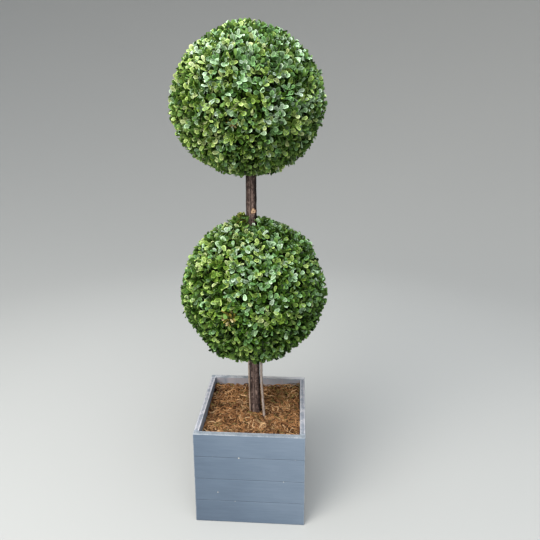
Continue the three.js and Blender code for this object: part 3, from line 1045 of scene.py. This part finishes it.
def make_sprig_leaves(ball, sprigs, limit, materials, rng):
    """Pairs of leaves along the sprigs, each turned square to the one before it."""
    count = len(limit)
    light, cool, dry = spray_shades(unit(sprigs[-1]), ball, rng)
    olive = np.zeros(count, dtype=bool)
    olive[count - len(ball["tufts"]):][:OLIVE_TUFTS] = True
    turn = rng.uniform(0, math.pi, count)
    placed = ([], [])
    tints = ([], [])
    for level, (along, spread, size, shade) in enumerate(LEAF_PAIRS):
        node, axis = curve_points(*sprigs, along)
        for side in range(2):
            angle = turn + level * math.pi / 2 + side * math.pi + rng.normal(0, 0.12, count)
            leaf = leaf_set(node, axis, angle, spread, size, rng)
            leaf["length"][dry] *= DRY_LEAF_LENGTH
            leaf["width"][dry] *= DRY_LEAF_WIDTH
            points, fits = fit_leaves(leaf, ball["centre"], limit)
            own = leaf_tints(light[fits], cool[fits], dry[fits], shade, rng)
            own[olive[fits] & (rng.random(len(own)) < OLIVE_SHARE)] = TINT_NUMBER["olive"]
            placed[level // 2].append(points)
            tints[level // 2].append(own)
    for name, points, tint in zip(("_tip_leaves", "_side_leaves"), placed, tints):
        make_leaves(ball, name, np.concatenate(points), np.concatenate(tint), materials)


def make_inner_leaves(ball, materials, rng):
    """Older leaves low on and between the main twigs, filling the depth with dark green, partly painted
    shade.
    """
    count = INNER_LEAVES
    outward = unit(lattice(count, ball["seed"] * 1.3) + rng.normal(0, 0.018, (count, 3)))
    reach = rng.uniform(*INNER_ROOT, count) + INNER_CLIP_SHARE * clipped(outward, ball)
    axis = unit(outward + rng.normal(0, 0.3, outward.shape))
    turn = rng.uniform(0, 2 * math.pi, count)
    root = outward * reach[:, None]
    leaf = leaf_set(root, axis, turn, INNER_SPREAD, INNER_SIZE, rng, INNER_SPREAD_JITTER)
    points, _ = fit_leaves(leaf, ball["centre"], np.full(count, BALL_REACH))
    # Mostly the darkest tint: partly painted shade deep in the ball
    tint = np.where(rng.random(len(points)) < INNER_OLD_SHARE, TINT_NUMBER["old"], TINT_NUMBER["deep"])
    make_leaves(ball, "_inner_leaves", points, tint, materials)


def make_core(ball, material):
    """The dense dark inside of a ball, that the twigs stand out of."""
    rng = np.random.default_rng(ball["seed"] + 1)
    shape = bmesh.new()
    bmesh.ops.create_icosphere(shape, subdivisions=5, radius=1.0)
    shape.verts.index_update()
    outward = unit(np.array([corner.co for corner in shape.verts]))
    faces = [[corner.index for corner in face.verts] for face in shape.faces]
    shape.free()
    lumps = sum(height * waves(outward * 100, length, rng) for height, length in CORE_LUMPS)
    points = outward * (CORE_RADIUS - CORE_SINK + lumps)[:, None] + ball["centre"]
    piece = make_piece(ball["name"] + "_core", points, faces, [material])
    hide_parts(ball["name"])


def make_ball(ball, leaves, twig, core):
    """A clipped ball: the solids' twigs, finer sprigs that branch from them, their leaves, and its core."""
    rng = np.random.default_rng(ball["seed"])
    roots, tips = main_twigs(ball["centre"], ball["seed"])
    end, limit = sprig_tips(ball, rng)
    sprigs = (*branch_off(roots, tips, end, rng), end)
    make_twigs(ball, roots, tips, sprigs, twig, rng)
    make_sprig_leaves(ball, sprigs, limit, leaves, rng)
    make_inner_leaves(ball, leaves, rng)
    make_core(ball, core)


# Boards: how far an edge is eased, and how much of that a board's very end loses, the gap where two meet,
# the play at the ends of the side ones, and how uneven their faces are
BOARD_EASE = 0.9
BOARD_END_SHRINK = 0.6
BOARD_GAP = 0.3
BOARD_PLAY = 0.3
BOARD_UNEVEN = 0.012
BOARD_STATIONS = 26
HARD_EDGE = math.radians(12.0)


def board(length, depth, height, rng):
    """A board along X about the origin, with eased edges and ends, and faces that aren't quite even."""
    corners = []
    for quarter, (side, up) in enumerate(((1, 1), (-1, 1), (-1, -1), (1, -1))):
        for step in range(3):
            turn = (quarter + step / 2) * math.pi / 2
            y = side * (depth / 2 - BOARD_EASE) + BOARD_EASE * math.cos(turn)
            z = up * (height / 2 - BOARD_EASE) + BOARD_EASE * math.sin(turn)
            corners.append((y, z))
    around = len(corners)
    inner = np.linspace(-length / 2 + BOARD_EASE, length / 2 - BOARD_EASE, BOARD_STATIONS)
    places = np.concatenate([[-length / 2], inner, [length / 2]])
    size = np.ones((len(places), 1, 2))
    size[[0, -1]] = 1 - 2 * BOARD_EASE / np.array([depth, height]) * BOARD_END_SHRINK
    rings = np.array(corners) * size + rng.normal(0, BOARD_UNEVEN, (len(places), around, 2))
    points = np.column_stack([np.repeat(places, around), rings.reshape(-1, 2)])
    return points, [face[::-1] for face in rod_faces(len(places), around)]


def make_boards(name, shapes, materials, coats=None):
    """Boards as one piece of the planter, level with the ground, with hard edges where faces turn."""
    points = []
    faces = []
    for shape, shape_faces in shapes:
        faces.extend([[len(points) + corner for corner in face] for face in shape_faces])
        points.extend(shape)
    points = np.maximum(points, [-np.inf, -np.inf, 0.0])
    piece = make_piece(name, points, faces, materials, coats)
    piece.data.set_sharp_from_angle(angle=HARD_EDGE)
    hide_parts("planter")


FRONT_COAT, SIDE_COAT, RIM_COAT, INSIDE_COAT, EDGE_COAT, SIDE_RIM_COAT, BACK_RIM_COAT = range(7)
PAINT = ((68, 81, 98), (88, 102, 119), (109, 122, 138))
RIM = ((86, 94, 104), (110, 117, 125), (144, 148, 153))
WORN_EDGE = ((88, 98, 110), (118, 126, 136), (156, 159, 162))
SIDE_RIM = ((100, 105, 115), (121, 125, 134), (177, 173, 178))
# The back rim's paler colours are painted light, where the balls and stems shade it
LIT_BACK_RIM = ((98, 105, 114), (124, 130, 137), (184, 182, 186))
BARE_FLOOR = ((120, 98, 74), (158, 132, 102), (186, 162, 130))
# How worn the paint is, which also sets how dark the painted shade in its joints is
WEAR_AND_JOINT_SHADE = 0.8


def wall_materials():
    """The coats in the order of their numbers."""
    return [
        painted_material("paint_front", 0, PAINT, WEAR_AND_JOINT_SHADE),
        painted_material("paint_sides", 1, PAINT, WEAR_AND_JOINT_SHADE),
        rim_material("paint_rim", "Y", 0.06, RIM),
        inner_wall_material("paint_inside"),
        rim_material("paint_worn_edge", "Y", 0.0, WORN_EDGE),
        rim_material("paint_rim_sides", "X", 0.26, SIDE_RIM, -0.03),
        # The back rim with painted light: paler, and lighter still to the right, where the balls and stems
        # shade it
        rim_material("paint_rim_back", "Y", 0.06, LIT_BACK_RIM, 0.3),
    ]


def board_coat(middle, along, side, length):
    """The coat of a wall board's face, by its middle and how far along its board that is. Side 0 is the
    back."""
    between = side % 2 == 1
    eased_end = length / 2 - BOARD_EASE < along < length / 2 - 0.05
    if middle[2] > PLANTER_HEIGHT - 0.2:
        return SIDE_RIM_COAT if between else RIM_COAT if side else BACK_RIM_COAT
    if middle[2] > PLANTER_HEIGHT - BOARD_EASE or (eased_end and not between):
        return EDGE_COAT
    if max(abs(middle[0]), abs(middle[1])) < INNER_HALF + 0.35:
        return INSIDE_COAT
    return SIDE_COAT if between else FRONT_COAT


def make_walls(rng):
    """Four boards a side: the front and back ones run the full width, with the side ones between them."""
    board_height = PLANTER_HEIGHT / BOARDS_HIGH
    shapes = []
    coats = []
    for level in range(BOARDS_HIGH):
        for side in range(4):
            length = PLANTER_WIDTH
            if side % 2 == 1:
                length = PLANTER_WIDTH - 2 * BOARD_THICKNESS - BOARD_PLAY
            shape, faces = board(length, BOARD_THICKNESS, board_height - BOARD_GAP, rng)
            out = PLANTER_WIDTH / 2 - BOARD_THICKNESS / 2 + rng.uniform(-0.12, 0.0)
            shape = shape + np.array([0.0, out, board_height * (level + 0.5)])
            cos, sin = math.cos(side * math.pi / 2), math.sin(side * math.pi / 2)
            spin = np.array([[cos, -sin, 0], [sin, cos, 0], [0, 0, 1]])
            shape = shape @ spin.T
            for face in faces:
                middle = shape[face].mean(axis=0)
                coats.append(board_coat(middle, abs(middle @ spin[:, 0]), side, length))
            shapes.append((shape, faces))
    make_boards("planter_boards", shapes, wall_materials(), coats)


def make_planter_floor(rng):
    """Three boards of bare wood."""
    strip = 2 * INNER_HALF / 3
    shapes = []
    for number in range(3):
        shape, faces = board(2 * INNER_HALF - 0.4, strip - 0.6, BOARD_THICKNESS, rng)
        shapes.append((shape + np.array([0.0, (number - 1) * strip, BOARD_THICKNESS / 2]), faces))
    make_boards("planter_floor", shapes, [painted_material("bare_wood", 0, BARE_FLOOR, 0.0, 0.75)])


# Where the coir sinks at the stems' feet, and is heaped in the far right corner: the spot, how widely and
# how deep
COIR_DIPS = (((3.0, -2.0), 16.0, 6.5), ((23.0, -22.0), 14.0, 4.0), ((96.0, 98.0), 34.0, -6.0))
COIR_HALF = INNER_HALF - 0.4
# How far the bed lies under the strands' level, its swells as heights and lengths, and its cells a side
COIR_BED_SINK = 3.0
COIR_BED_SWELLS = ((1.3, 24.0), (1.1, 9.0))
COIR_BED_CELLS = 64
# Coir strands: tints on screen with each one's share
COIR_TINTS = (
    ((200, 162, 120), 0.13),
    ((174, 128, 84), 0.23),
    ((148, 103, 64), 0.24),
    ((120, 80, 50), 0.2),
    ((80, 51, 30), 0.14),
    ((122, 108, 62), 0.06),
)
PALE_STRAND, DARK_STRAND, MOSSY_STRAND = 0, 4, 5
COIR_STRANDS = 3250
COIR_STRAND_POINTS = 8
STRAND_STEM_GAP = 0.9
# Half widths of the strands, and their shares
STRAND_HALF_WIDTHS = (0.35, 0.6, 0.95, 1.35)
STRAND_WIDTH_SHARES = (0.24, 0.3, 0.28, 0.18)


def coir_height(x, y):
    mound = hump(np.hypot(x - MAIN_STEM_X / 2, y - SOIL_SHIFT_Y), COIR_MOUND_REACH)
    height = COIR_LEVEL + COIR_MOUND * mound + COIR_BACK_RISE * smoothstep(y, 0, INNER_HALF)
    for (dip_x, dip_y), width, depth in COIR_DIPS:
        height = height - depth * hump(np.hypot(x - dip_x, y - dip_y), width)
    return height


def make_coir_bed(rng):
    """A slab of coir with an uneven top."""
    side = COIR_BED_CELLS + 1
    spots = np.linspace(-COIR_HALF, COIR_HALF, side)
    x, y = np.meshgrid(spots, spots, indexing="ij")
    flat = np.stack([x, y, x * 0], axis=-1)
    top = coir_height(x, y) - COIR_BED_SINK
    for rise, length in COIR_BED_SWELLS:
        top = top + rise * waves(flat, length, rng)
    bottom = np.full_like(x, FILL_TOP + 0.3)
    points = np.stack([np.stack([x, y, z], axis=-1) for z in (top, bottom)]).reshape(-1, 3)
    index = np.arange(side * side).reshape(side, side)
    quads = np.stack([index[:-1, :-1], index[1:, :-1], index[1:, 1:], index[:-1, 1:]], axis=-1)
    quads = quads.reshape(-1, 4)
    under = quads[:, ::-1] + side * side
    rim = np.concatenate([index[:, 0], index[-1, 1:], index[::-1, -1][1:], index[0, ::-1][1:-1]])
    following = np.roll(rim, -1)
    wall = np.stack([rim, rim + side * side, following + side * side, following], axis=-1)
    bed = ground_material("coir_bed", ((40, 25, 14), (70, 45, 27), (108, 74, 45)), 230.0, 0.003)
    piece = make_piece("coir_bed", points, np.concatenate([quads, under, wall]), [bed])
    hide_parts("coir_topping")


def strand_paths(rng):
    """Strands that start anywhere and curl as they go, lying on the bed and on each other."""
    count = COIR_STRANDS
    steps = COIR_STRAND_POINTS
    start = rng.uniform(-COIR_HALF, COIR_HALF, (count, 2))
    heading = rng.uniform(0, 2 * math.pi, count)[:, None]
    heading = heading + rng.normal(0, 0.3, count)[:, None] * np.arange(steps)
    step = rng.uniform(1.6, 3.9, count)[:, None, None]
    heading = heading + np.cumsum(rng.normal(0, 0.42, (count, steps)), axis=1)
    moves = step * np.stack([np.cos(heading), np.sin(heading)], axis=-1)
    ground = start[:, None] + np.cumsum(moves, axis=1)
    ground = np.clip(ground, -COIR_HALF + 0.8, COIR_HALF - 0.8)
    lift = rng.uniform(-2.4, 2.6, count)[:, None]
    arch = rng.uniform(0, 3.0, count)[:, None] * np.sin(np.linspace(0, math.pi, steps))
    ripple = np.cumsum(rng.normal(0, 0.5, (count, steps)), axis=1)
    wall_climb = 1.6 * smoothstep(np.abs(ground).max(axis=-1), COIR_HALF - 12, COIR_HALF)
    height = coir_height(ground[..., 0], ground[..., 1]) + lift + arch + 0.6 * ripple + wall_climb
    paths = np.concatenate([ground, height[..., None]], axis=-1)
    for stem in STEMS:
        axis = stem["axis"](paths[..., 2])
        away = paths[..., :2] - axis
        distance = np.linalg.norm(away, axis=-1, keepdims=True)
        least = stem["radii"][0] + STRAND_STEM_GAP
        paths[..., :2] = axis + away * np.maximum(1.0, least / np.maximum(distance, 0.1))
    return paths


def flat_tubes(paths, rng):
    """Four-sided tubes along the strands' paths, wider than thick, twisted, and thinner at both ends."""
    count, steps, _ = paths.shape
    direction = unit(np.gradient(paths, axis=1))
    flat, upright = side_vectors(direction)
    twist = rng.normal(0, 0.4, count)[:, None] + rng.normal(0, 0.12, count)[:, None] * np.arange(steps)
    wide = flat * np.cos(twist)[..., None] + upright * np.sin(twist)[..., None]
    thick = np.cross(direction, wide)
    taper = np.sin(np.linspace(0.12, 0.94, steps) * math.pi) ** 0.5
    half_width = rng.choice(STRAND_HALF_WIDTHS, count, p=STRAND_WIDTH_SHARES)[:, None] * taper
    wide = wide * half_width[..., None]
    thick = thick * np.maximum(0.2, half_width * 0.35)[..., None]
    ring = np.stack([paths + wide, paths + thick, paths - wide, paths - thick], axis=2)
    return ring.reshape(-1, 3), repeated(tube_faces(steps, 4), count, steps * 4)


def strand_tints(x, y, rng):
    """Tints dealt out to strands by chance, with mossy, dark and pale ones where the photo shows them."""
    count = len(x)
    tint = rng.choice(len(COIR_TINTS), count, p=[share for _, share in COIR_TINTS])
    for place, share, number in (
        ((x > 30) & (y > 35), 0.12, MOSSY_STRAND),
        (x > 20, 0.05, DARK_STRAND),
        (np.hypot(x - 12, y + 42) < 13, 0.5, PALE_STRAND),
    ):
        tint[place & (rng.random(count) < share)] = number
    return tint


def make_coir_strands(rng):
    paths = strand_paths(rng)
    points, faces = flat_tubes(paths, rng)
    middle = paths[:, COIR_STRAND_POINTS // 2]
    tint = strand_tints(middle[:, 0], middle[:, 1], rng)
    chosen = np.repeat(tint, len(faces) // COIR_STRANDS)
    materials = [fibre_material(f"coir_{number}", colour) for number, (colour, _) in enumerate(COIR_TINTS)]
    strands = make_piece("coir_strands", points, faces, materials, chosen)
    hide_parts("coir_topping")


# The stage, in metres: a floor that is flat at first, then curves up into a wall, and soft lights from
# above and in front, each with its place, target, size, power, colour and spread
FLOOR_FLAT = 1.5
FLOOR_BEND = 2.3
FLOOR_TOP = 3.6
FLOOR_SIDES = 72
FLOOR_COLOUR = (156, 155, 153)
SKY_COLOUR = (0.82, 0.88, 1.0, 1.0)
SKY_STRENGTH = 0.15
LIGHTS = (
    ("key", (-1.55, -1.85, 1.9), (0, 0, 0.58), 2.3, 52.0, (1.0, 0.97, 0.89), 120),
    ("top", (-0.1, -0.7, 3.0), (0, 0, 0.5), 3.0, 180.0, (0.9, 0.96, 1.0), 180),
    ("fill", (0.7, -2.0, 1.15), (0, 0, 0.3), 1.3, 4.0, (0.97, 0.99, 1.0), 120),
)
# The photo's camera, as fitted
CAMERA_PLACE = (0.0878, -0.8907, 0.7791)
CAMERA_YAW = 3.46
CAMERA_PITCH = 13.0
CAMERA_ROLL = -0.14
CAMERA_LENS = 32.83
CAMERA_SHIFT = -0.0926


def set_place(thing, side, up, away, place):
    """Puts a light or camera at its place, looking the other way than away."""
    rows = [[side[i], up[i], away[i], place[i]] for i in range(3)]
    thing.matrix_world = Matrix(rows + [[0, 0, 0, 1]])


def make_floor():
    bend = np.linspace(0, math.pi / 2, 24)
    out = np.append(FLOOR_FLAT + FLOOR_BEND * np.sin(bend), FLOOR_FLAT + FLOOR_BEND)
    up = np.append(FLOOR_BEND - FLOOR_BEND * np.cos(bend), FLOOR_TOP)
    turn = np.arange(FLOOR_SIDES) * 2 * math.pi / FLOOR_SIDES
    ring = np.stack([np.outer(out, np.cos(turn)), np.outer(out, np.sin(turn))], axis=-1)
    points = np.dstack([ring, np.repeat(up[:, None], FLOOR_SIDES, axis=1)]).reshape(-1, 3)
    plain = Surface("floor")
    plain.finish(FLOOR_COLOUR, 0.9)
    faces = dish_faces(len(out), FLOOR_SIDES)
    mesh = make_mesh("floor", np.concatenate([np.zeros((1, 3)), points]), faces, [plain.material])
    floor = add_object("floor", mesh)


def add_light(name, place, target, size, power, colour, spread):
    light = bpy.data.lights.new(name, "AREA")
    light.shape = "DISK"
    light.size = size
    light.spread = math.radians(spread)
    light.energy = power
    light.color = colour
    lamp = add_object(name, light)
    lamp.visible_camera = False
    away = unit(np.array(place) - np.array(target))
    set_place(lamp, *side_vectors(away), away, place)


def add_camera():
    data = bpy.data.cameras.new("camera")
    data.sensor_width = 36.0
    data.lens = CAMERA_LENS
    data.shift_y = CAMERA_SHIFT
    data.clip_start = 0.01
    yaw, pitch, roll = (math.radians(angle) for angle in (CAMERA_YAW, CAMERA_PITCH, CAMERA_ROLL))
    ahead = np.array([-math.sin(yaw) * math.cos(pitch), math.cos(yaw) * math.cos(pitch), -math.sin(pitch)])
    level = np.array([math.cos(yaw), math.sin(yaw), 0.0])
    top = np.cross(level, ahead)
    side = math.cos(roll) * level + math.sin(roll) * top
    up = -math.sin(roll) * level + math.cos(roll) * top
    camera = add_object("camera", data)
    set_place(camera, side, up, -ahead, CAMERA_PLACE)
    bpy.context.scene.camera = camera


def make_stage():
    """A plain pale floor, soft light from above and in front, and the photo's camera."""
    make_floor()
    world = bpy.data.worlds.new("studio")
    world.use_nodes = True
    sky = world.node_tree.nodes["Background"].inputs
    sky["Color"].default_value = SKY_COLOUR
    sky["Strength"].default_value = SKY_STRENGTH
    bpy.context.scene.world = world
    for light in LIGHTS:
        add_light(*light)
    add_camera()
    bpy.context.scene.view_settings.view_transform = "Standard"


def make_planter():
    rng = np.random.default_rng(21)
    make_walls(rng)
    make_planter_floor(rng)


def make_coir():
    rng = np.random.default_rng(8)
    make_coir_bed(rng)
    make_coir_strands(rng)


def make_balls():
    leaves = make_leaf_materials()
    twig = fibre_material("green_twig", (74, 84, 40), 0.6)
    core = ground_material("ball_inside", ((10, 20, 6), (18, 34, 10), (34, 48, 18)), 190.0, 0.004)
    for ball in (LOWER, UPPER):
        make_ball(ball, leaves, twig, core)


def coat_fill():
    """The solid of the fill is hidden under the coir, and only gets a material."""
    mix = ground_material("setting_mix", ((42, 32, 24), (74, 58, 44), (104, 86, 68)), 160.0, 0.002)
    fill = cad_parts["planter_fill"]
    fill.data.materials.clear()
    fill.data.materials.append(mix)


make_planter()
make_coir()
for stem in STEMS:
    make_stem(stem)
make_scar()
make_balls()
coat_fill()
make_stage()
